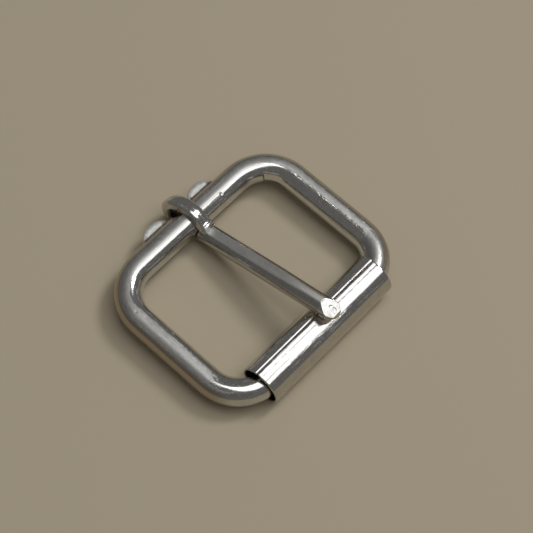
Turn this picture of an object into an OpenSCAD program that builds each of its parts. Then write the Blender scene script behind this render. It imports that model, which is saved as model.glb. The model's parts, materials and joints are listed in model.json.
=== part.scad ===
// Roller buckle for a strap: a ring bent from round wire, a roller of rolled
// sheet round one of its bars, and a tongue whose loop turns on the other bar.
// Millimetres, +Z up. The buckle lies on the plane z = 0 as it would on a
// table: the roller and the tongue's loop carry it, so the ring lies a little
// above the table. The origin is the middle of its footprint. +X runs from the
// hinge bar to the roller, and Y runs along both bars.

/* [Frame] */
// Width of the strap that passes between the side bars
strap_w = 25.4; // [22:0.1:38]
// Diameter of the frame's wire
wire_d = 3.8; // [3.4:0.1:4]
// Distance from the middle of the hinge bar to the middle of the roller's bar
bar_span = 23.15; // [20:0.05:32]
// Bend radius of the wire's middle line, at the hinge bar's corners
hinge_bend_r = 5.6; // [4:0.1:6]
// Bend radius of the wire's middle line, at the roller's corners
roller_bend_r = 5.3; // [4:0.1:5.4]

/* [Ears of the hinge bar] */
// Distance of each pinched ear's middle from the frame's middle
ear_y = 4.2; // [4.2:0.05:6]
// Radius of an ear's round outline
ear_r = 2.5; // [2:0.1:2.5]
// How far an ear reaches out of the wire
ear_reach = 1.45; // [1:0.05:1.5]
// Thickness of an ear
ear_t = 0.8; // [0.6:0.1:1.2]

/* [Roller] */
// Outer diameter of the roller
roller_d = 5.9; // [5.8:0.1:6.6]
// Thickness of the roller's sheet
roller_wall = 0.4; // [0.3:0.05:0.4]
// How much shorter the roller is than the strap's width
roller_short = 3.4; // [3.3:0.1:8]
// How far the roller has slid along its bar, off the middle
roller_slide = 0.28; // [0:0.01:0.3]
// Width of the gap where the rolled sheet's edges meet
seam_gap = 0.13; // [0.05:0.01:0.3]
// Where the seam lies round the roller, from +X up towards +Z
seam_angle = 101; // [80:1:140]
// How far the roller's axis lies inward of the bar inside it
roller_inset = 0.1; // [0:0.01:0.1]
// How far the bar lies below the roller's axis
bar_drop = 0.35; // [0:0.01:0.35]

/* [Tongue] */
// Diameter of the tongue's shank
shank_d = 2.8; // [2.4:0.1:2.8]
// Width of the flat along the top of the shank
flat_w = 1.2; // [0.4:0.1:1.6]
// Length from the hinge axis to the tip, along the shank
tongue_reach = 25.17; // [24.5:0.01:25.5]
// Angle between the shank and the bevel on top of its tip
bevel_angle = 38; // [30:1:60]
// Radius of the blunt end that the tip tapers to
tip_r = 1.05; // [0.9:0.05:1.3]
// How far below the shank's axis the bevel ends
bevel_drop = 0.33; // [0.1:0.01:0.5]
// How far off the middle the tongue sits on the hinge bar
tongue_y = 0.6; // [-0.6:0.01:0.6]
// How far the tongue is swung sideways, towards +Y
tongue_yaw = 2.35; // [-2.4:0.05:2.4]

/* [Loop of the tongue] */
// Width of the flattened strip that makes the loop
strip_w = 2.25; // [1.8:0.05:2.4]
// Thickness of that strip
strip_t = 1; // [0.8:0.1:1]
// Play between the loop and the bar in it
play = 0.05; // [0.03:0.01:0.08]
// How much longer than round the loop's opening is
loop_slack = 1.5; // [0:0.1:1.5]
// Slope of the strip's end where it comes down to the shank
end_slope = 40; // [30:1:45]
// Straight length of the strip's end, along its top
end_len = 1.3; // [0.8:0.1:1.5]
// Slope of the cut end face
end_face_slope = 62; // [50:1:85]
// Gap between the strip's end and the shank that it rests on
end_gap = 0.06; // [0.04:0.01:0.1]

/* [Hidden] */
$fn = 96;

// Fine overlap that keeps a cutting solid clear of the faces it cuts
eps = 0.5;
nickel = [0.78, 0.77, 0.74];
nickel_roller = [0.82, 0.81, 0.79];
nickel_tongue = [0.74, 0.72, 0.69];

wire_r = wire_d / 2;
roller_r = roller_d / 2;
shank_r = shank_d / 2;

// Inner and outer radius of the loop round the bar
loop_in = wire_r + play;
loop_out = loop_in + strip_t;

// Heights of the two axes: the loop and the roller stand on the table
hinge_z = loop_out;
roller_z = roller_r;
roller_bar_z = roller_z - bar_drop;

// Middle line of the ring, and its tilt down towards the roller's bar
half_w = (strap_w + wire_d) / 2;
tilt = atan2(hinge_z - roller_bar_z, bar_span);

// Roller
roller_x = bar_span - roller_inset;
roller_len = strap_w - roller_short;

// Shank: how far its axis passes below the hinge axis, and the pitch at which
// it rests on the roller with a hair's gap
rest_gap = 0.05;
shank_drop = loop_out - shank_r - 0.19;
axes_gap = norm([roller_x, roller_z - hinge_z]);
pitch = asin((roller_r + shank_r + rest_gap + shank_drop) / axes_gap) + atan2(roller_z - hinge_z, roller_x);
flat_h = sqrt(pow(shank_r, 2) - pow(flat_w / 2, 2));
bevel_len = (flat_h + bevel_drop) / tan(bevel_angle);
// Where the loop's bottom strip has run out into the shank's underside
runout_x = 1.7 * wire_r;

// Footprint in X, for the origin in its middle: from the corner of the loop's
// skewed outer end to the roller
low_x = -(loop_slack + loop_out) * cos(tongue_yaw) - strip_w / 2 * abs(sin(tongue_yaw));
high_x = roller_x + roller_r;
mid_x = (low_x + high_x) / 2;

// A straight length of wire from one point to another in the ring's plane
module wire(from, to) {
    run = to - from;
    translate([from[0], from[1], 0])
        rotate([0, 90, atan2(run[1], run[0])])
            cylinder(h = norm(run), r = wire_r);
}

// A quarter bend of the wire round a centre, starting at an angle in plan
module bend(centre, radius, start) {
    translate([centre[0], centre[1], 0])
        rotate([0, 0, start])
            rotate_extrude(angle = 90)
                translate([radius, 0])
                    circle(r = wire_r);
}

// The ring in its own plane, hinge bar along x = 0
module ring() {
    near = hinge_bend_r;
    far = bar_span - roller_bend_r;
    for (side = [-1, 1]) {
        wire([near, side * half_w], [far, side * half_w]);
        bend([near, side * (half_w - hinge_bend_r)], hinge_bend_r, side > 0 ? 90 : 180);
        bend([far, side * (half_w - roller_bend_r)], roller_bend_r, side > 0 ? 0 : 270);
    }
    wire([0, hinge_bend_r - half_w], [0, half_w - hinge_bend_r]);
    wire([bar_span, roller_bend_r - half_w], [bar_span, half_w - roller_bend_r]);
}

// A thin round ear, pinched out of the hinge bar's outer side, that keeps the
// tongue in the middle
module ear(y) {
    translate([ear_r - wire_r - ear_reach, y, -ear_t / 2])
        cylinder(h = ear_t, r = ear_r);
}

module frame() {
    color(nickel)
        translate([-mid_x, 0, hinge_z])
            rotate([0, tilt, 0]) {
                ring();
                ear(-ear_y);
                ear(ear_y);
            }
}

// A tube rolled from sheet, open along its seam
module roller() {
    color(nickel_roller)
        translate([roller_x - mid_x, roller_slide, roller_z])
            difference() {
                rotate([90, 0, 0])
                    cylinder(h = roller_len, r = roller_r, center = true);
                rotate([90, 0, 0])
                    cylinder(h = roller_len + 2 * eps, r = roller_r - roller_wall, center = true);
                rotate([0, -seam_angle, 0])
                    translate([0, -roller_len / 2 - eps, -seam_gap / 2])
                        cube([roller_r + eps, roller_len + 2 * eps, seam_gap]);
            }
}

// Outline of a loop with a round end, long by the slack
module slot_outline(r) {
    circle(r = r);
    translate([-loop_slack, 0])
        circle(r = r);
    translate([-loop_slack, -r])
        square([loop_slack, 2 * r]);
}

// Side view of the bent strip round the hinge axis at the origin: below the
// bar, round its outer side, over its top and down to the shank
module strip_outline() {
    down = [cos(end_slope), -sin(end_slope)];
    out = [sin(end_slope), cos(end_slope)];
    top_end = out * loop_out + down * end_len;
    face = [cos(end_face_slope), -sin(end_face_slope)];
    difference() {
        union() {
            slot_outline(loop_out);
            polygon([[0, 0], out * loop_out, top_end, top_end + face * 2 * strip_t]);
        }
        // The side towards the shank, between the strip's end and its bottom
        rotate(pitch)
            translate([0, flat_h - shank_drop + end_gap - 2 * loop_out])
                square([2 * loop_out, 2 * loop_out]);
    }
    // The bottom strip runs on and out into the shank's underside
    polygon([
        [-0.2, -loop_out], [0, -loop_out], [0.2 * wire_r, -loop_out],
        [runout_x, -loop_out + runout_x * tan(pitch) + shank_r / 2],
        [runout_x, -wire_r / 2], [-0.2, -wire_r / 2]
    ]);
}

// The round shank along +X, its axis at z = 0: flat on top, with a tapered
// and bevelled tip
module shank() {
    start = wire_r / 2;
    bevel_start = tongue_reach - bevel_len;
    difference() {
        union() {
            translate([start, 0, 0])
                rotate([0, 90, 0])
                    cylinder(h = bevel_start - start, r = shank_r);
            translate([bevel_start, 0, 0])
                rotate([0, 90, 0])
                    cylinder(h = bevel_len, r1 = shank_r, r2 = tip_r);
        }
        translate([0, -shank_d, flat_h])
            cube([tongue_reach + eps, 2 * shank_d, shank_r]);
        translate([bevel_start, 0, flat_h])
            rotate([0, bevel_angle, 0])
                translate([-shank_r, -shank_d, 0])
                    cube([4 * shank_d, 2 * shank_d, 2 * shank_d]);
    }
}

module tongue() {
    color(nickel_tongue)
        translate([-mid_x, tongue_y, hinge_z])
            difference() {
                rotate([0, 0, tongue_yaw]) {
                    rotate([90, 0, 0])
                        linear_extrude(height = strip_w, center = true)
                            strip_outline();
                    rotate([0, -pitch, 0])
                        translate([0, 0, -shank_drop])
                            shank();
                }
                // The opening for the hinge bar runs square to the frame
                rotate([90, 0, 0])
                    linear_extrude(height = 3 * shank_d, center = true)
                        slot_outline(loop_in);
            }
}

frame();
roller();
tongue();
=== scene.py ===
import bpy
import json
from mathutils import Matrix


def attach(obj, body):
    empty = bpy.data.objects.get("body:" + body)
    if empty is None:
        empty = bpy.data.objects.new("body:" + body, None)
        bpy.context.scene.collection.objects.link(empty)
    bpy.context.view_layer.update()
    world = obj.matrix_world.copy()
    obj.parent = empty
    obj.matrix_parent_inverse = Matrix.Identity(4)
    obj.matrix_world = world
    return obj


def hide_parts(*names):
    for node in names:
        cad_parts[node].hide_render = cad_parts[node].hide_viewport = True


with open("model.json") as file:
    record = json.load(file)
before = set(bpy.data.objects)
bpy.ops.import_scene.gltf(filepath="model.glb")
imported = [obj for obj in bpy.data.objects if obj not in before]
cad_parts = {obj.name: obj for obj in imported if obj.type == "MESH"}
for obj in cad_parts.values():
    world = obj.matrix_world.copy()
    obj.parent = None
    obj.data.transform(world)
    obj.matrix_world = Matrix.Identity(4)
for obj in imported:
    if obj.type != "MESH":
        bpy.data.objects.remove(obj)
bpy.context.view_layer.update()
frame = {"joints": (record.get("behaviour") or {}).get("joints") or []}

import json
import math

import bpy
import numpy as np
from mathutils import Vector, noise

# Every length below is in millimetres and is turned to metres where a mesh, light or
# camera is made. The axes are the row's: +X from the hinge bar to the roller, +Z up.
# On the ring, u runs from the hinge bar's middle towards the roller and v along Y. A turn
# is an angle round the wire: 0 on the ring's outer side, 90 degrees on top, 180 inside.
# Side A is the half of the ring at negative v, and side B the half at positive v.
MM = 0.001

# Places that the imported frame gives
joint_at = {j["name"]: np.array(j["pos_m"]) / MM for j in frame["joints"]}
HINGE_X, _, HINGE_Z = joint_at["tongue_swing"]
ROLLER_X, _, ROLLER_Z = joint_at["roller_spin"]

# Ring: the wire, its middle line, and how far the roller's bar lies below the hinge bar
WIRE_R = 1.9
HALF_W = 14.6
SPAN = 23.15
HINGE_BEND_R = 5.6
ROLLER_BEND_R = 5.3
BAR_DROP = 0.35
NEAR_BEND_V = HALF_W - HINGE_BEND_R
FAR_BEND_V = HALF_W - ROLLER_BEND_R
FAR_BEND_U = SPAN - ROLLER_BEND_R

# The two ears on the hinge bar: place, outline, thickness, rounding of the rim, the soft
# join with the wire, and the burr along the rim's top as height, place and width
EAR_Y = 4.2
EAR_R = 2.5
EAR_REACH = 1.45
EAR_T = 0.8
EAR_RIM = 0.22
EAR_JOIN = 0.2
BURR_H = 0.085
BURR_AT = 0.04
BURR_W = 0.24
# Half the length of the hinge bar that the ears may shape
EARED_HALF = 8.4

# Distances between the ring's stations, and how far each change of bend is spread
LINE_STEP = 0.02
EAR_STEP = 0.09
NEAR_BEND_STEP = 0.12
PLAIN_STEP = 0.26
BEND_EASE = 0.5
BEND_POINTS = 60
RING_COLUMNS = 150

# Pinched folds on the inner side of the bends at the hinge bar, as (side B, side A): depth
# of the flat, turn of the crease along it and depth of the creases
PINCH_DEPTH = (0.15, 0.03)
CREASE_TURN = (139, 126)
CREASE_DEPTH = (0.10, 0.035)

# Pits of the side bars: u, side (-1 is A, 1 is B), turn in degrees, depth, width along u
PITS = (
    (3.2, -1, 68, 0.025, 0.20),
    (4.9, -1, 86, 0.030, 0.16),
    (6.4, -1, 96, 0.030, 0.14),
    (7.3, -1, 92, 0.020, 0.14),
    (8.2, -1, 108, 0.020, 0.15),
    (8.2, 1, 96, 0.030, 0.16),
    (10.4, 1, 98, 0.020, 0.14),
    (15.9, 1, 96, 0.030, 0.20),
    (17.4, 1, 98, 0.020, 0.18),
)
PIT_TURN_W = math.degrees(0.09)

# Roller: the sheet, its length, how far it has slid, its seam, and the rounding of the
# roller's ends and of the sheet's edges
ROLLER_R = 2.95
ROLLER_WALL = 0.4
ROLLER_LEN = 22.0
ROLLER_SLIDE = 0.28
SEAM_GAP = 0.13
SEAM_ANGLE = math.radians(101)
ROLLER_RIM = 0.17
SHEET_LIP = 0.06
SHEET_POINTS = 256
LIP_POINTS = 7
ROLLER_STATIONS = 150
# Where the painted shade begins on the low outer flank, in degrees from the seam, darkening its
# reflection of the floor
ROLLER_PAINTED_SHADE = (58, 68)

# Tongue: the shank, how it lies, and its length
SHANK_R = 1.4
SHANK_DROP = 1.36
FLAT_H = 1.265
FLAT_RISE = FLAT_H - SHANK_DROP
PITCH = math.radians(14.46)
YAW = math.radians(2.35)
TONGUE_Y = 0.6
REACH = 25.17
# Directions along the shank and square to its flat, in side view
SHANK_WAY = np.array([math.cos(PITCH), math.sin(PITCH)])
FLAT_WAY = np.array([-math.sin(PITCH), math.cos(PITCH)])

# The tongue's tip: its bevel, where its stations begin, the rounding of its nose, and how
# much its two flanks and its underside draw in
BEVEL = math.radians(38)
BEVEL_LEN = 2.04
BEVEL_START = REACH - BEVEL_LEN
TIP_START = BEVEL_START - 0.25
NOSE_R = 0.25
NOSE_START = REACH - NOSE_R
NOSE_TURNS = np.radians([15, 30, 45, 60, 72, 82, 90])
DRAW_B = 0.30
DRAW_A = 0.62
DRAW_LOW = 0.16
# The curved scratch on the bevel: middle along and across the shank, radius, depth, width
SCRATCH_S = 24.65
SCRATCH_Y = 0.05
SCRATCH_R = 0.5
SCRATCH_DEPTH = 0.03
SCRATCH_W = 0.07

# The strip of the tongue's loop, its sheared end and the two ridges across that
STRIP_W = 2.25
LOOP_IN = 1.97
LOOP_OUT = 2.95
LOOP_SLACK = 1.5
END_SLOPE = math.radians(40)
END_LEN = 1.3
END_FACE_SLOPE = math.radians(62)
END_GAP = 0.03
RIDGE_H = 0.06
RIDGE_W = 0.10
RIDGES_AT = (0.09, 0.45)
# How much thicker the strip is where it turns back, and how much its outer face bulges
FOLD_THICKER = 0.70
CROWN = 0.17
# How square a section is: 2 is round, and more is squarer
ROUND = 2.0
SQUARE = 4.2
TONGUE_COLUMNS = 112
# Kinds of station along the tongue
STRIP, RUN_OUT, SHANK = 0, 1, 2

# Plate of each piece: its colour and the tint of its clouds, the roughness of bright and
# of worn plate, and the depths of its grain and of its drawing lines
RING_PLATE = {
    "colour": (0.665, 0.665, 0.645), "tint": (0.565, 0.555, 0.56),
    "bright": 0.13, "worn": 0.38, "grain": 0.005, "lines": 0.003,
}
ROLLER_PLATE = {
    "colour": (0.67, 0.66, 0.64), "tint": (0.58, 0.565, 0.575),
    "bright": 0.11, "worn": 0.3, "grain": 0.008, "lines": 0.002,
}
TONGUE_PLATE = {
    "colour": (0.665, 0.665, 0.645), "tint": (0.575, 0.565, 0.56),
    "bright": 0.16, "worn": 0.43, "grain": 0.003, "lines": 0.007,
}
# Lighter colour for matt places: a painted sheen where the ears and the tongue's flat near its tip
# catch the light
PAINTED_SHEEN_COLOUR = (0.80, 0.80, 0.78)
# Darker grey: painted shade that narrows the highlights on the ring's tops and dims the tongue's
# flanks
PAINTED_SHADE_COLOUR = (0.40, 0.395, 0.385)
# Brown: grime in the roller's bore, and painted shade where the low outer sides reflect the shaded
# floor
GRIME_AND_SHADE_COLOUR = (0.44, 0.38, 0.31)
FLOOR_COLOUR = (0.52, 0.45, 0.33)
FLOOR_ROUGHNESS = 0.8
FLOOR_HALF = 900

# Lights: the way to each from the object, its width and depth as shares of its distance,
# its radiance and its colour
LIGHT_DISTANCE = 900
LIGHTS = {
    "ceiling": ((0.25, 0.18, 0.95), (0.82, 0.82), 1.65, (1, 1, 1)),
    "window": ((0.165, 0.58, 0.80), (0.25, 0.27), 15, (1, 0.99, 0.97)),
    "fill": ((-0.09, 0.0, 0.996), (0.25, 0.25), 1.7, (1, 1, 1)),
}
ROOM_COLOUR = (1.0, 0.97, 0.92)
ROOM_STRENGTH = 0.142

# Camera: width of the photograph and focal length in its pixels, the point that the camera
# looks at, the way it looks and its distance from that point
PHOTO_W = 533
FOCAL = 1784.3
SENSOR_W = 36
CAMERA_TARGET = (0.282, 3.307, 0)
CAMERA_WAY = (-0.3074, 0.3279, -0.8933)
CAMERA_DISTANCE = 237.343
# Nearest and farthest that the camera sees, in metres
CAMERA_CLIP = (0.01, 10)


def smooth(x, start, end):
    """0 before start, 1 after end, with a soft step between."""
    t = np.clip((np.asarray(x, float) - start) / (end - start), 0, 1)
    return t * t * (3 - 2 * t)


def band(x, rise, fall):
    """1 between two soft steps: up over the stretch rise, and down over the stretch fall."""
    return smooth(x, *rise) * (1 - smooth(x, *fall))


def bump_at(x, middle, width):
    """A round hump of height 1 at middle."""
    return np.exp(-(((np.asarray(x, float) - middle) / width) ** 2))


def soft_min(a, b, k):
    """The smaller of two, rounded over where they are within k of each other."""
    h = np.clip(k - np.abs(a - b), 0, None) / k
    return np.minimum(a, b) - h * h * k / 4


def ripple(points, size, seed):
    """Smooth noise from -1 to 1 at each point of an array that ends in 3 numbers."""
    shift = Vector((seed * 7.31, seed * 3.77, seed * 5.13))
    flat = points.reshape(-1, 3) / size
    values = [noise.noise(Vector(p) + shift) for p in flat]
    return np.array(values).reshape(points.shape[:-1])


def arc(middle, radius, start, end, count):
    """Points on an arc between two angles in degrees."""
    turns = np.radians(np.linspace(start, end, count))
    return np.stack([middle[0] + radius * np.cos(turns), middle[1] + radius * np.sin(turns)], 1)


def grid_faces(rows, columns, closed):
    """Quads over rows of points that are closed round, and along as well if closed."""
    faces = []
    for i in range(rows if closed else rows - 1):
        here = i * columns
        there = (i + 1) % rows * columns
        for j in range(columns):
            k = (j + 1) % columns
            faces.append((here + j, here + k, there + k, there + j))
    return faces


def add_piece(name, points, faces, body, material, marks):
    """One mesh piece in the row frame, smooth shaded, that stands for its CAD node. A mark
    has a number, or where its array has a third axis a vector, for each row and column."""
    mesh = bpy.data.meshes.new(name)
    mesh.from_pydata((points.reshape(-1, 3) * MM).tolist(), [], faces)
    mesh.polygons.foreach_set("use_smooth", [True] * len(mesh.polygons))
    for mark, values in marks.items():
        kind = "FLOAT_VECTOR" if values.ndim == 3 else "FLOAT"
        field = "vector" if values.ndim == 3 else "value"
        layer = mesh.attributes.new(mark, kind, "POINT")
        layer.data.foreach_set(field, values.astype(np.float32).ravel())
    mesh.materials.append(material)
    mesh.update()
    piece = bpy.data.objects.new(name, mesh)
    bpy.context.scene.collection.objects.link(piece)
    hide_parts(body)
    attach(piece, body)
    return piece


# Ring

def rounded_loop(step):
    """Points every step along the ring's middle line, in its own plane, hinge bar at u = 0."""
    corners = [
        (FAR_BEND_U, FAR_BEND_V, ROLLER_BEND_R, 0),
        (HINGE_BEND_R, NEAR_BEND_V, HINGE_BEND_R, 90),
        (HINGE_BEND_R, -NEAR_BEND_V, HINGE_BEND_R, 180),
        (FAR_BEND_U, -FAR_BEND_V, ROLLER_BEND_R, 270),
    ]
    line = [np.array([SPAN, 0.0])]
    for u, v, radius, start in corners:
        line += list(arc((u, v), radius, start, start + 90, BEND_POINTS))
    line.append(line[0])
    line = np.array(line)
    along = np.concatenate([[0], np.cumsum(np.linalg.norm(np.diff(line, axis=0), axis=1))])
    s = np.arange(0, along[-1], along[-1] / round(along[-1] / step))
    return np.stack([np.interp(s, along, line[:, i]) for i in range(2)], axis=1)


def round_off(line, step, width):
    """A closed line whose change of bend is spread over about a width."""
    n = len(line)
    away = np.minimum(np.arange(n), n - np.arange(n)) * step
    weight = np.exp(-((away / width) ** 2) / 2)
    weight /= weight.sum()
    return np.stack([np.real(np.fft.ifft(np.fft.fft(line[:, i]) * np.fft.fft(weight)))
                     for i in range(2)], axis=1)


def ring_stations():
    """Places along the ring, closer together at the ears and in the bends beside them: point,
    outward normal and length so far."""
    line = round_off(rounded_loop(LINE_STEP), LINE_STEP, BEND_EASE)
    ahead = np.roll(line, -1, axis=0) - np.roll(line, 1, axis=0)
    ahead /= np.linalg.norm(ahead, axis=1)[:, None]
    out = np.stack([ahead[:, 1], -ahead[:, 0]], axis=1)
    u = line[:, 0]
    off_middle = np.abs(line[:, 1])
    near_ear = (np.abs(off_middle - EAR_Y) < EAR_R + 0.2) & (u < WIRE_R)
    in_bend = (u < HINGE_BEND_R) & (off_middle > NEAR_BEND_V)
    spacing = np.where(near_ear, EAR_STEP, np.where(in_bend, NEAR_BEND_STEP, PLAIN_STEP))
    count = np.floor(np.cumsum(1 / spacing * LINE_STEP))
    picked = np.flatnonzero(np.diff(count, prepend=-1) > 0)
    return line[picked], out[picked], picked * LINE_STEP


def ring_turns():
    """Angles round the wire in radians, closest together on the ears' rims, and closer on top
    of the inner side than elsewhere."""
    fine = np.linspace(-math.pi, math.pi, 2000, endpoint=False)
    rims = 4 * bump_at(fine, 0, 0.32)
    inner_top = 0.8 * bump_at(fine, 2.2, 0.5)
    share = np.cumsum(1 + rims + inner_top)
    return np.interp(np.linspace(0, share[-1], RING_COLUMNS, endpoint=False), share, fine)


def ear_radius(turn, v):
    """Distance from the wire's middle to the surface of wire and ears, blended. It is found
    by halving the stretch between a place inside and a place outside."""
    low = np.full(np.broadcast(turn, v).shape, WIRE_R * 0.9)
    high = np.full(low.shape, WIRE_R + EAR_REACH + 0.3)
    middle = EAR_REACH + WIRE_R - EAR_R
    halvings = 26

    def gap(r):
        a, z = r * np.cos(turn), r * np.sin(turn)
        wire = np.hypot(a, z) - WIRE_R
        side = np.hypot(a - middle, np.abs(v) - EAR_Y) - (EAR_R - EAR_RIM)
        burr = BURR_H * bump_at(side, BURR_AT, BURR_W) * (z > 0)
        flat = np.abs(z) - (EAR_T / 2 - EAR_RIM) - burr
        disc = (np.minimum(np.maximum(side, flat), 0)
                + np.hypot(np.maximum(side, 0), np.maximum(flat, 0)) - EAR_RIM)
        return soft_min(wire, disc, EAR_JOIN)

    for _ in range(halvings):
        half_way = (low + high) / 2
        inside = gap(half_way) < 0
        low = np.where(inside, half_way, low)
        high = np.where(inside, high, half_way)
    return (low + high) / 2


def bend_angle(u, v):
    """How far round the bend next to the hinge bar a place is, in degrees from that bar."""
    return np.degrees(np.arctan2(np.abs(v) - NEAR_BEND_V, HINGE_BEND_R - u))


def pinched(u, v, turn, radius):
    """The ring's radius with the flats and creases that sharp bending left on its inner side."""
    around = bend_angle(u, v)
    turn = np.abs(turn)
    flat_turn = 163
    in_bend = band(around, (41, 45), (72, 88)) * (u < HINGE_BEND_R)
    slant = np.cos(np.radians(np.clip(turn - flat_turn, -60, 60)))
    flat = (WIRE_R - np.where(v > 0, *PINCH_DEPTH) * in_bend) / slant
    radius = np.minimum(radius, np.where(in_bend > 0, flat, radius))
    along_turn = np.where(v > 0, *CREASE_TURN) + 4 * bump_at(around, 60, 12)
    along = bump_at(turn, along_turn, 2.6) * band(around, (36, 44), (70, 80))
    across_at = 42 + 0.05 * (turn - 140)
    across = bump_at(around, across_at, 1.6) * smooth(turn, 134, 142)
    creases = np.where(v > 0, *CREASE_DEPTH) * (along + across)
    return radius - creases * (u < HINGE_BEND_R + 1)


def dents(u, v, turn):
    """Depth of the press mark on the hinge bar and of the small pits of the side bars."""
    mark_v = 5.42
    press_mark = 0.07 * bump_at(v, mark_v, 0.12) * bump_at(turn, 115, 8)
    # Flattened by the tongue's loop between its end place and that mark
    flattened = (0.05 * band(turn, (98, 120), (150, 175))
                 * band(v, (1.0, 1.6), (mark_v - 0.17, mark_v + 0.08)))
    depth = (press_mark + flattened) * (u < WIRE_R)
    for pit_u, side, pit_turn, deep, wide in PITS:
        pit = deep * bump_at(u, pit_u, wide) * bump_at(turn, pit_turn, PIT_TURN_W)
        depth = depth + pit * (v * side > HALF_W - 3)
    return depth


def burnished_line(u, turn):
    """The thin bright line that slants over the top of side B's bend next to the roller."""
    line_turn = 76 - 1.2 * (u - 18.6)
    return bump_at(turn, line_turn, 1.6)


def ring_wear(u, v, turn):
    """Satin, worn plate (1) along the ring's top, bright plate (0) on both sides of it."""
    side_a = smooth(-v, HALF_W - 2.0, HALF_W - 0.4) * smooth(u, 3.0, 6.0)
    hinge_bar = 1 - smooth(u, 0.2, 1.2)
    inner = 98 + 4 * hinge_bar + 15 * side_a
    outer = 67 - 13 * side_a
    wear = band(turn, (outer - 8, outer + 8), (inner - 6, inner + 6))
    # The bends next to the roller: dull on top on side B, and bright on side A
    far_b = smooth(u, FAR_BEND_U, SPAN - 3.6) * (v > 0)
    dull = band(turn, (34, 46), (130, 150)) * (1 - burnished_line(u, turn))
    wear = wear * (1 - far_b) + dull * far_b
    far_a = smooth(u, FAR_BEND_U - 1, SPAN - 2.4) * (v < 0)
    return wear * (1 - far_a * smooth(turn, 60, 68))


def ring_low_painted_shade(u, v, turn):
    """Brown painted shade low on the ring's outer side, where it reflects the shaded floor."""
    side_a = smooth(-v, 9.0, 12.5) * (1 - smooth(u, SPAN - 4.0, SPAN - 1.5))
    side_b = 0.8 * smooth(v, 11.0, 13.5)
    hinge_end = 0.75 * (u < HINGE_BEND_R)
    low = band(turn, (-90, -60), (44, 62))
    return np.maximum(np.maximum(side_a, side_b), hinge_end) * low


def ring_painted_shade(u, v, turn):
    """Painted grey shade that dims the top of the hinge bar and its bends, narrowing their
    highlight, and the top of side B's bend next to the roller apart from the burnished line."""
    around = bend_angle(u, v)
    edge = 108 - 7 * smooth(around, 5, 35) * (v < 0)
    near = (0.25 + 0.7 * smooth(turn, 82, 96)) * (1 - smooth(turn, edge - 2, edge + 2))
    near = near * smooth(turn, 40, 60) * (u < HINGE_BEND_R)
    near = near * (1 - np.where(v > 0, smooth(around, 50, 64), smooth(around, 66, 88)))
    far = (v > 0) * smooth(u, FAR_BEND_U + 0.4, SPAN - 3.4)
    far = far * band(turn, (34, 46), (122, 145)) * (1 - burnished_line(u, turn))
    return np.maximum(near, far)


def ring_radius(u, v, turn, bar, on_ears):
    """Distance from the wire's middle to the ring's surface, at each station and turn."""
    radius = np.where(on_ears, ear_radius(turn, v), WIRE_R)
    # Slow waviness of bent and tumbled wire, apart from the ears' rims
    rims = bump_at(turn, 0, 0.4) * on_ears
    radius = radius + 0.010 * ripple(bar, 2.6, 1) * (1 - rims)
    radius = pinched(u, v, np.degrees(turn), radius)
    radius = radius - dents(u, v, np.degrees(turn))
    return np.minimum(radius, np.where(on_ears, np.inf, WIRE_R))


def build_ring(material):
    line, out, along = ring_stations()
    turn = ring_turns()[None, :]
    degrees = np.degrees(turn)
    u, v = line[:, :1], line[:, 1:]
    on_ears = (u < WIRE_R) & (np.abs(v) < EARED_HALF)
    bar = np.stack(np.broadcast_arrays(
        along[:, None], WIRE_R * np.cos(turn), WIRE_R * np.sin(turn)), axis=-1)
    radius = ring_radius(u, v, turn, bar, on_ears)
    outward = radius * np.cos(turn)
    lift = radius * np.sin(turn)
    x = u + out[:, :1] * outward
    y = v + out[:, 1:] * outward
    tilt = math.asin(BAR_DROP / SPAN)
    points = np.stack([
        HINGE_X + x * math.cos(tilt) + lift * math.sin(tilt),
        y,
        HINGE_Z - x * math.sin(tilt) + lift * math.cos(tilt),
    ], axis=-1)
    ears = np.where(on_ears, smooth(radius, WIRE_R + 0.12, WIRE_R + 0.3), 0)
    marks = {
        "bar": bar,
        "wear": np.maximum(ring_wear(u, v, degrees), ears),
        # The ears are matt, and painted lighter as a sheen
        "matt_and_sheen": ears,
        # Painted shade low on the outer side, where the ring reflects the shaded floor
        "grime_and_shade": ring_low_painted_shade(u, v, degrees) * (1 - ears),
        # Painted shade over the tops of the hinge bar and its bends, and of side B's bend by the
        # roller
        "painted_shade": ring_painted_shade(u, v, degrees),
    }
    faces = grid_faces(*ears.shape, True)
    return add_piece("frame_skin", points, faces, "frame", material, marks)


# Roller

def sheet_outline(inset):
    """Cross-section of the rolled sheet, taken in by inset all round, as angles and radii:
    its outer side, two rounded edges, its inner side and two rounded edges."""
    outer = ROLLER_R - inset
    inner = ROLLER_R - ROLLER_WALL + inset
    middle = (outer + inner) / 2
    lip = min(SHEET_LIP, (outer - inner) / 2 * 0.98)
    turn_in = lip / middle
    seam = (SEAM_GAP / 2 + inset) / middle
    start = SEAM_ANGLE + seam
    end = SEAM_ANGLE + 2 * math.pi - seam
    # Points along a side lie closer together next to the seam
    even = np.linspace(0, 1, SHEET_POINTS)
    spread = even / 2 + (1 - np.cos(math.pi * even)) / 4
    side = start + turn_in + (end - start - 2 * turn_in) * spread
    corner = np.linspace(0, math.pi / 2, LIP_POINTS)
    over = 1 - np.sin(corner)
    down = 1 - np.cos(corner)
    turns = [side, end - turn_in * over, end - turn_in * down,
             side[::-1], start + turn_in * over, start + turn_in * down]
    radii = [np.full(SHEET_POINTS, outer), outer - lip * down, inner + lip * over,
             np.full(SHEET_POINTS, inner), inner + lip * down, outer - lip * over]
    return np.concatenate(turns), np.concatenate(radii)


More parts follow.
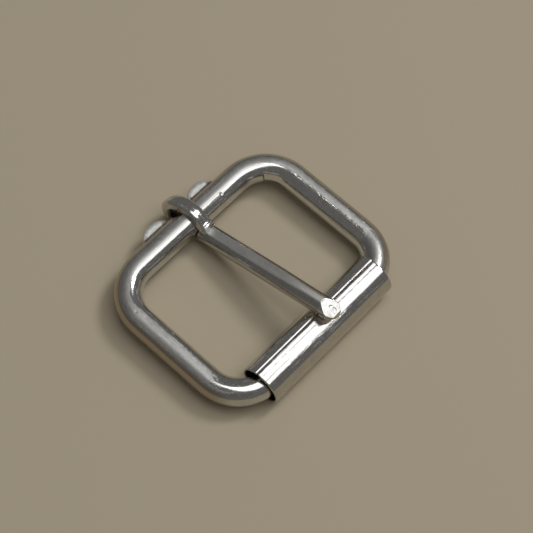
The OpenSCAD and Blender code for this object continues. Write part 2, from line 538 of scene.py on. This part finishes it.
def roller_rows():
    """Rings of points along the roller in its own axes, taken in over its rounded ends."""
    half = ROLLER_LEN / 2
    steps = np.linspace(0, math.pi / 2, LIP_POINTS)[1:]
    ends = [(half - ROLLER_RIM * (1 - math.sin(t)), ROLLER_RIM * (1 - math.cos(t))) for t in steps]
    places = [(-y, inset) for y, inset in reversed(ends)]
    places += [(y, 0.0) for y in np.linspace(ROLLER_RIM - half, half - ROLLER_RIM, ROLLER_STATIONS)]
    places += ends
    rows = []
    for y, inset in places:
        turns, radii = sheet_outline(inset)
        rows.append(np.stack([np.cos(turns) * radii, np.full(len(turns), y),
                              np.sin(turns) * radii], axis=-1))
    return np.array(rows)


def from_seam(rows):
    """How far round the roller each point lies from the seam, in degrees from -180 to 180."""
    around = SEAM_ANGLE - np.arctan2(rows[..., 2], rows[..., 0])
    return np.degrees((around + math.pi) % (2 * math.pi) - math.pi)


def hand_rolled(rows, bar, outside, around):
    """The roller's rows with slow waves on the outer side, and with its bend at the seam."""
    wave = 0.007 * ripple(bar * np.array([0.55, 1, 1]), 1.5, 5)
    wave += 0.003 * ripple(bar, 0.6, 6)
    # No wave stands above the plain roller
    wave -= 0.011
    # The sheet stays flatter on one side of the seam, and turns down towards it on the other
    dip = 0.085 * band(around, (1.0, 15), (15, 60))
    dip += 0.14 * (1 - smooth(-around, 0.5, 7.5)) * (around < 0)
    length = np.linalg.norm(rows[..., [0, 2]], axis=-1)
    scale = 1 + np.where(outside, wave - dip, 0) / length
    return rows * np.stack([scale, np.ones_like(scale), scale], axis=-1)


def sheet_end_faces(rows, columns):
    """The sheet's two end faces: strips between its outer and its inner line, and a face over
    the two rounded edges where those lines begin."""
    paired = 2 * SHEET_POINTS + 2 * LIP_POINTS
    faces = []
    for row, flip in ((0, False), (rows - 1, True)):
        base = row * columns
        end_face = []
        for j in range(paired // 2 - 1):
            across = base + paired - 1 - j
            end_face.append((base + j, base + j + 1, across - 1, across))
        end_face.append((base + paired - 1, *range(base + paired, base + columns), base))
        faces += end_face if flip else [face[::-1] for face in end_face]
    return faces


def build_roller(material):
    rows = roller_rows()
    bar = rows[..., [1, 0, 2]]
    outside = np.linalg.norm(rows[..., [0, 2]], axis=-1) > ROLLER_R - ROLLER_WALL / 2
    around = from_seam(rows)
    points = hand_rolled(rows, bar, outside, around) + (ROLLER_X, ROLLER_SLIDE, ROLLER_Z)
    plain = np.zeros(outside.shape)
    # A little painted shade on the outer side from its low flank on, and a full coat of grime in
    # the bore
    marks = {
        "bar": bar,
        "wear": plain,
        "matt_and_sheen": plain,
        "grime_and_shade": np.where(outside, 0.28 * smooth(around, *ROLLER_PAINTED_SHADE), 1.0),
        "painted_shade": plain,
    }
    faces = grid_faces(*outside.shape, False) + sheet_end_faces(*outside.shape)
    return add_piece("roller_skin", points, faces, "roller", material, marks)


# Tongue

def straight(start, end, count):
    """Points or numbers that are evenly spaced from start to end."""
    return np.linspace(start, end, count)


def pitched(s, rise):
    """A point in side view, s along the shank from the hinge's axis and rise above that."""
    s, rise = np.broadcast_arrays(np.asarray(s, float), np.asarray(rise, float))
    return np.stack([s * math.cos(PITCH) - rise * math.sin(PITCH),
                     s * math.sin(PITCH) + rise * math.cos(PITCH)], axis=-1)


def shallower(s):
    """How much the shank's top sinks towards the flat, so that it narrows towards the tip."""
    return 0.05 * smooth(s, 3, 22)


def peaked(s):
    """How round the shank's top half is (2 round, 1 a roof), flatter sided near the tip."""
    return ROUND - 0.5 * smooth(s, 13, 22)


def strip_end():
    """Outer and inner line of the strip's sheared end, from its toe on the shank up to where
    the loop begins."""
    down = np.array([math.cos(END_SLOPE), -math.sin(END_SLOPE)])
    out = np.array([math.sin(END_SLOPE), math.cos(END_SLOPE)])
    face = np.array([math.cos(END_FACE_SLOPE), -math.sin(END_FACE_SLOPE)])
    loop_top = out * LOOP_OUT
    top_end = loop_top + down * END_LEN
    rest_rise = FLAT_RISE + END_GAP

    def drop_to_flat(point, way):
        return point + way * (rest_rise - point @ FLAT_WAY) / (way @ FLAT_WAY)

    toe = drop_to_flat(top_end, face)
    heel = drop_to_flat(out * LOOP_IN, down)
    sole = toe * 0.45 + heel * 0.55
    near_toe = toe + FLAT_WAY * 0.10
    cut_face = (straight(near_toe, top_end, 10), straight(toe, sole, 10))
    # Two fine ridges run across the end's top
    slope = straight(top_end, loop_top, 44)[1:]
    back = np.linalg.norm(slope - top_end, axis=1)[:, None]
    ridges = sum(bump_at(back, place, RIDGE_W) for place in RIDGES_AT)
    under = np.concatenate([straight(sole, heel, 11)[1:], straight(heel, out * LOOP_IN, 34)[1:]])
    return [cut_face, (slope + out * RIDGE_H * ridges, under)]


def loop_round():
    """Outer and inner line of the loop, over the hinge bar, round its outer side and back."""
    start = 90 - math.degrees(END_SLOPE)
    over_bar = [arc((0, 0), radius, start, 90, 16)[1:] for radius in (LOOP_OUT, LOOP_IN)]
    top = [straight((0, radius), (-LOOP_SLACK, radius), 8)[1:]
           for radius in (LOOP_OUT, LOOP_IN)]
    # The strip is thicker where it turns back
    thicker = FOLD_THICKER * np.sin(np.radians(np.linspace(0, 180, 56))) ** 2
    inside = arc((0, 0), 1.0, 90, 270, 56) * (LOOP_IN - thicker[:, None])
    fold = [arc((-LOOP_SLACK, 0), LOOP_OUT, 90, 270, 56)[1:], ((-LOOP_SLACK, 0) + inside)[1:]]
    bottom = [straight((-LOOP_SLACK, -radius), (0, -radius), 8)[1:]
              for radius in (LOOP_OUT, LOOP_IN)]
    return [over_bar, top, fold, bottom]


def run_out(shank_start):
    """Outer and inner line where the strip runs out into the shank, below the hinge bar."""
    count = 30
    inner_end = math.degrees(math.asin(FLAT_RISE / LOOP_IN) + PITCH)
    foot = pitched(0, -SHANK_DROP - SHANK_R)
    x = np.linspace(0, pitched(shank_start, -SHANK_DROP - SHANK_R)[0], count)
    shank_line = foot[1] + (x - foot[0]) * math.tan(PITCH)
    level = shank_line + (-LOOP_OUT - shank_line) * (1 - smooth(x, 0, 1.5))
    outer = np.stack([x, level], axis=1)
    return outer[1:], arc((0, 0), LOOP_IN, -90, inner_end, count)[1:]


def tongue_profile():
    """Outer and inner line of the bent piece in side view, paired station by station, from the
    strip's end to the bevel, and the kind of each station."""
    shank_start = LOOP_IN * math.cos(math.asin(FLAT_RISE / LOOP_IN))
    s = np.concatenate([straight(shank_start, shank_start + 0.8, 8)[1:],
                        straight(shank_start + 0.8, TIP_START, 60)[1:]])
    pairs = strip_end() + loop_round()
    kinds = [STRIP] * len(pairs) + [RUN_OUT, SHANK]
    pairs.append(run_out(shank_start))
    pairs.append((pitched(s, -SHANK_DROP - SHANK_R), pitched(s, FLAT_RISE)))
    outer, inner = (np.concatenate(line) for line in zip(*pairs))
    return outer, inner, np.repeat(kinds, [len(pair[0]) for pair in pairs])


def section(foot, up, length, half_w, height, full, power, top_power, crown=0.0):
    """One ring of points: an oval or squarish section that is cut flat at height above its
    foot, and whose foot side is crowned and slants at one edge. The second array has the
    points' places on the straightened tongue."""
    turns = np.linspace(0, 2 * math.pi, TONGUE_COLUMNS, endpoint=False)
    c, s = np.cos(turns), np.sin(turns)
    power = np.where(s > 0, top_power, power)
    across = half_w * np.sign(c) * np.abs(c) ** (2 / power)
    rise = full / 2 * (1 + np.sign(s) * np.abs(s) ** (2 / power))
    rise = rise + crown * (across / half_w + 0.35) ** 2 * (1 - rise / full)
    across = across * np.where(across < 0, 1 - 2 * crown * (1 - rise / full), 1)
    cut = soft_min(rise, np.full_like(rise, height), min(0.05, height * 0.3))
    points = np.stack([foot[0] + up[0] * cut, across, foot[1] + up[1] * cut], axis=1)
    bar = np.stack([np.full_like(across, length), across, cut - full / 2], axis=1)
    return points, bar


def body_rows():
    """Sections along the strip and the shank, the number of the shank's first one, and the
    length of all of them."""
    outer, inner, kind = tongue_profile()
    grown = np.where(kind == STRIP, 0.0, 1.0)
    spots = np.flatnonzero(kind == RUN_OUT)
    grown[spots] = smooth(np.arange(len(spots)), -1, len(spots) * 0.95)
    height = np.linalg.norm(inner - outer, axis=1)
    half_w = STRIP_W / 2 + (SHANK_R - STRIP_W / 2) * grown
    s = outer @ SHANK_WAY
    full = height + (SHANK_R - FLAT_H) * grown - np.where(kind == SHANK, shallower(s), 0)
    power = SQUARE + (ROUND - SQUARE) * grown
    top_power = np.where(kind == SHANK, peaked(s), power)
    steps = np.linalg.norm(np.diff((outer + inner) / 2, axis=0), axis=1)
    length = np.concatenate([[0.0], np.cumsum(steps)])
    rows = []
    for i in range(len(outer)):
        up = (inner[i] - outer[i]) / height[i]
        rows.append(section(outer[i], up, length[i], half_w[i], height[i], full[i], power[i],
                            top_power[i], CROWN * (1 - grown[i])))
    return rows, np.flatnonzero(kind == SHANK)[0], length[-1]


def scratch_depth(s, across):
    """Depth of the curved scratch across the bevel."""
    reach = np.hypot(s - SCRATCH_S, across - SCRATCH_Y)
    bearing = np.degrees(np.arctan2(across - SCRATCH_Y, s - SCRATCH_S))
    return SCRATCH_DEPTH * bump_at(reach, SCRATCH_R, SCRATCH_W) * smooth(bearing, 45, 75)


def tip_rows(length):
    """Sections over the bevelled tip: the flat falls away, and the sides draw in to a blunt
    round end."""
    places = np.concatenate([straight(TIP_START, NOSE_START, 34)[1:],
                             REACH - NOSE_R * (1 - np.sin(NOSE_TURNS))])
    rows = []
    for s in places:
        share = np.clip((s - BEVEL_START) / BEVEL_LEN, 0, 1)
        past = max(0.0, s - NOSE_START)
        nose = NOSE_R - math.sqrt(max(0.0, NOSE_R ** 2 - past ** 2))
        flank_b = SHANK_R - DRAW_B * smooth(share, 0.55, 1.0) - nose
        flank_a = SHANK_R - DRAW_A * smooth(share, 0.50, 1.0) - nose
        low = SHANK_R - DRAW_LOW * share - 0.7 * nose
        top = soft_min(FLAT_H, FLAT_H - (s - BEVEL_START) * math.tan(BEVEL), 0.04)
        points, bar = section(pitched(s, -SHANK_DROP - low), FLAT_WAY, length + s - TIP_START,
                              flank_b, top + low, 2 * low - shallower(s), ROUND, peaked(s))
        points[:, 1] *= np.where(points[:, 1] < 0, flank_a / flank_b, 1)
        groove = scratch_depth(s, points[:, 1]) * (bar[:, 2] > top - 0.02)
        points[:, 0] -= FLAT_WAY[0] * groove
        points[:, 2] -= FLAT_WAY[1] * groove
        rows.append((points, bar))
    return rows


def leaning(x, y):
    """The tongue's y, where the loop's far end leans to one side and is wider."""
    y = y + 0.12 * np.minimum(x + 0.6, 0) * smooth(-x, 0.6, 1.6)
    return y - 0.22 * smooth(-x, 0.6, 3.6) * (1 - y / (STRIP_W / 2)) / 2


def tongue_marks(bar, on_shank):
    """Wear on the shank's flat, and matt plate towards the tip that is painted lighter as a sheen;
    painted shade on its flanks, and more painted shade low down on one side."""
    along, across, rise = bar[..., 0], bar[..., 1], bar[..., 2]
    tip = bar[-1, 0, 0]
    before_bevel = 1 - smooth(along, tip - 2.1, tip - 1.9)
    flat = smooth(rise, SHANK_R * 0.84, SHANK_R * 0.9) * on_shank * before_bevel
    flank_b = smooth(across, 0.65, 0.95)
    flank_a = 0.6 * smooth(-across, 0.45, 0.7)
    return {
        "bar": bar,
        "wear": flat,
        # Matt towards the tip, and painted lighter there as a sheen
        "matt_and_sheen": flat * smooth(along, tip - 10, tip - 2.5),
        # Painted shade low down on one side
        "grime_and_shade": 0.6 * smooth(-across, 0.5, 1.0) * smooth(-rise, -0.5, 0.2),
        # Painted shade on the shank's flanks
        "painted_shade": np.maximum(flank_b, flank_a) * on_shank * before_bevel,
    }


def build_tongue(material):
    body, first_of_shank, length = body_rows()
    rows, bar = (np.array(part) for part in zip(*(body + tip_rows(length))))
    n, m = rows.shape[:2]
    x, y, z = rows[..., 0], rows[..., 1], rows[..., 2]
    wave = 0.006 * ripple(bar * np.array([0.3, 1, 1]), 1.1, 9)
    y = leaning(x, y) * (1 + wave / SHANK_R)
    points = np.stack([
        HINGE_X + x * math.cos(YAW) - y * math.sin(YAW),
        TONGUE_Y + x * math.sin(YAW) + y * math.cos(YAW),
        HINGE_Z + z,
    ], axis=-1)
    faces = grid_faces(n, m, False)
    faces.append(tuple(range(m))[::-1])
    faces.append(tuple(range((n - 1) * m, n * m)))
    marks = tongue_marks(bar, np.arange(n)[:, None] > first_of_shank)
    return add_piece("tongue_skin", points, faces, "tongue", material, marks)


# Materials

class Nodes:
    """Short ways to add and join a material's nodes."""

    def __init__(self, name):
        self.material = bpy.data.materials.new(name)
        self.material.use_nodes = True
        self.tree = self.material.node_tree
        self.shader = self.tree.nodes["Principled BSDF"]

    def put(self, socket, value):
        if isinstance(value, bpy.types.NodeSocket):
            self.tree.links.new(value, socket)
        else:
            socket.default_value = value

    def add(self, kind, inputs=(), **settings):
        node = self.tree.nodes.new(kind)
        for key, value in settings.items():
            setattr(node, key, value)
        for key, value in dict(inputs).items():
            self.put(node.inputs[key], value)
        return node

    def mark(self, name, output="Fac"):
        return self.add("ShaderNodeAttribute", attribute_name=name).outputs[output]

    def drawn_out(self, bar, share):
        """Places along the bar shrunk to a share, so that a pattern is drawn out along it."""
        return self.add("ShaderNodeVectorMath", {0: bar, 1: (share, 1.0, 1.0)},
                        operation="MULTIPLY").outputs["Vector"]

    def noise(self, vector, scale, detail, roughness):
        return self.add("ShaderNodeTexNoise", {
            "Vector": vector, "Scale": scale, "Detail": detail,
            "Roughness": roughness}).outputs["Fac"]

    def ramp(self, value, span, to=(0.0, 1.0)):
        """The value with its span stretched to another one, and held at both ends."""
        return self.add("ShaderNodeMapRange", {
            "Value": value, "From Min": span[0], "From Max": span[1],
            "To Min": to[0], "To Max": to[1]}, clamp=True).outputs["Result"]

    def math(self, operation, a, b):
        return self.add("ShaderNodeMath", {0: a, 1: b}, operation=operation).outputs[0]

    def mix(self, share, plate, colour):
        """The plate's colour, moved by a share towards another."""
        node = self.add("ShaderNodeMix", data_type="RGBA")
        for place, value in ((0, share), (6, plate), (7, (*colour, 1))):
            self.put(node.inputs[place], value)
        return node.outputs[2]

    def bump(self, height, distance, below=None):
        inputs = {"Height": height, "Distance": distance * MM, "Strength": 1.0}
        if below is not None:
            inputs["Normal"] = below
        return self.add("ShaderNodeBump", inputs).outputs["Normal"]


def plate_roughness(n, bright, worn, worn_share, specks, fine):
    """Roughness of the plate, with duller specks and matt places."""
    rough = n.ramp(worn_share, (0.0, 1.0), (bright, worn))
    rough = n.math("ADD", rough, n.ramp(specks, (0.56, 0.70), (0.0, 0.16)))
    rough = n.math("ADD", rough, n.ramp(fine, (0.35, 0.75), (-0.03, 0.05)))
    return n.math("ADD", rough, n.ramp(n.mark("matt_and_sheen"), (0.0, 1.0), (0.0, 0.12)))


def plate_colour(n, bar, colour, tint):
    """Clouded colour of the plate, painted lighter as a sheen on matt places, and darker under
    painted shade and under brown that is grime in the roller's bore and painted shade elsewhere.
    """
    clouds = n.noise(bar, scale=1.2, detail=5.0, roughness=0.72)
    plate = n.mix(n.ramp(clouds, (0.46, 0.66)), (*colour, 1), tint)
    # Painted sheen: matt places are lighter
    plate = n.mix(n.mark("matt_and_sheen"), plate, PAINTED_SHEEN_COLOUR)
    # Painted shade, darker grey
    plate = n.mix(n.mark("painted_shade"), plate, PAINTED_SHADE_COLOUR)
    # Brown grime in the roller's bore, and painted shade low on the outer sides
    return n.mix(n.mark("grime_and_shade"), plate, GRIME_AND_SHADE_COLOUR)


def plate_relief(n, bar, fine, grain, lines, worn_share):
    """Fine grain, drawing lines, hairline scratches, pits in worn plate, and rough matt places."""
    normal = n.bump(fine, grain)
    drawn = n.noise(n.drawn_out(bar, 0.10), scale=3.6, detail=4.0, roughness=0.62)
    normal = n.bump(drawn, lines, normal)
    threads = n.noise(n.drawn_out(bar, 0.035), scale=2.3, detail=6.0, roughness=0.75)
    hairlines = n.math("MULTIPLY", n.ramp(threads, (0.60, 0.625)), n.ramp(threads, (0.65, 0.625)))
    normal = n.bump(hairlines, -0.006, normal)
    holes = n.noise(n.drawn_out(bar, 0.7), scale=3.6, detail=4.0, roughness=0.7)
    pits = n.math("MULTIPLY", n.ramp(holes, (0.62, 0.68)), worn_share)
    normal = n.bump(pits, -0.008, normal)
    crumb = n.noise(bar, scale=5.5, detail=4.0, roughness=0.7)
    return n.bump(n.math("MULTIPLY", crumb, n.mark("matt_and_sheen")), 0.06, normal)


def nickel(name, colour, tint, bright, worn, grain, lines):
    """Nickel plate: bright where new, satin and scratched where worn, with fine drawing lines.
    bright and worn are roughnesses, grain and lines are depths in millimetres."""
    n = Nodes(name)
    bar = n.mark("bar", "Vector")
    fine = n.noise(bar, scale=2.8, detail=5.0, roughness=0.64)
    specks = n.noise(n.drawn_out(bar, 0.45), scale=6.5, detail=3.0, roughness=0.65)
    ragged = n.math("ADD", n.mark("wear"), n.ramp(specks, (0.3, 0.7), (-0.42, 0.42)))
    worn_share = n.ramp(ragged, (0.30, 0.70))
    n.put(n.shader.inputs["Metallic"], 1.0)
    n.put(n.shader.inputs["Roughness"],
          plate_roughness(n, bright, worn, worn_share, specks, fine))
    n.put(n.shader.inputs["Base Color"], plate_colour(n, bar, colour, tint))
    n.put(n.shader.inputs["Normal"], plate_relief(n, bar, fine, grain, lines, worn_share))
    return n.material


def floor_material():
    n = Nodes("floor")
    n.put(n.shader.inputs["Base Color"], (*FLOOR_COLOUR, 1))
    n.put(n.shader.inputs["Roughness"], FLOOR_ROUGHNESS)
    return n.material


# Floor, lights and camera

def add_floor():
    mesh = bpy.data.meshes.new("floor")
    half = FLOOR_HALF * MM
    mesh.from_pydata([(-half, -half, 0), (half, -half, 0), (half, half, 0), (-half, half, 0)],
                     [], [(0, 1, 2, 3)])
    mesh.materials.append(floor_material())
    floor = bpy.data.objects.new("floor", mesh)
    bpy.context.scene.collection.objects.link(floor)


def add_light(name, way, size, radiance, colour):
    """A soft oval light in a direction from the object, facing it, as bright as radiance."""
    light = bpy.data.lights.new(name, "AREA")
    light.shape = "ELLIPSE"
    light.size, light.size_y = (LIGHT_DISTANCE * side * MM for side in size)
    light.energy = radiance * math.pi * math.pi * light.size * light.size_y / 4
    light.color = colour
    way = Vector(way).normalized()
    lamp = bpy.data.objects.new(name, light)
    lamp.location = way * LIGHT_DISTANCE * MM
    lamp.rotation_mode = "QUATERNION"
    lamp.rotation_quaternion = way.to_track_quat("Z", "Y")
    bpy.context.scene.collection.objects.link(lamp)


def add_room():
    """The even light of the room round the lights."""
    world = bpy.data.worlds.new("room")
    world.use_nodes = True
    background = world.node_tree.nodes["Background"]
    background.inputs["Color"].default_value = (*ROOM_COLOUR, 1)
    background.inputs["Strength"].default_value = ROOM_STRENGTH
    bpy.context.scene.world = world


def add_camera():
    """The photograph's viewpoint: a long lens from well above, over one corner."""
    way = Vector(CAMERA_WAY).normalized()
    data = bpy.data.cameras.new("camera")
    data.sensor_width = SENSOR_W
    data.lens = FOCAL / PHOTO_W * SENSOR_W
    data.clip_start, data.clip_end = CAMERA_CLIP
    camera = bpy.data.objects.new("camera", data)
    camera.location = (Vector(CAMERA_TARGET) - way * CAMERA_DISTANCE) * MM
    camera.rotation_mode = "QUATERNION"
    camera.rotation_quaternion = way.to_track_quat("-Z", "Y")
    bpy.context.scene.collection.objects.link(camera)
    bpy.context.scene.camera = camera


add_camera()
add_room()
for light_name, light_values in LIGHTS.items():
    add_light(light_name, *light_values)
bpy.context.scene.view_settings.view_transform = "Standard"
add_floor()
build_ring(nickel("nickel_ring", **RING_PLATE))
build_roller(nickel("nickel_roller", **ROLLER_PLATE))
build_tongue(nickel("nickel_tongue", **TONGUE_PLATE))
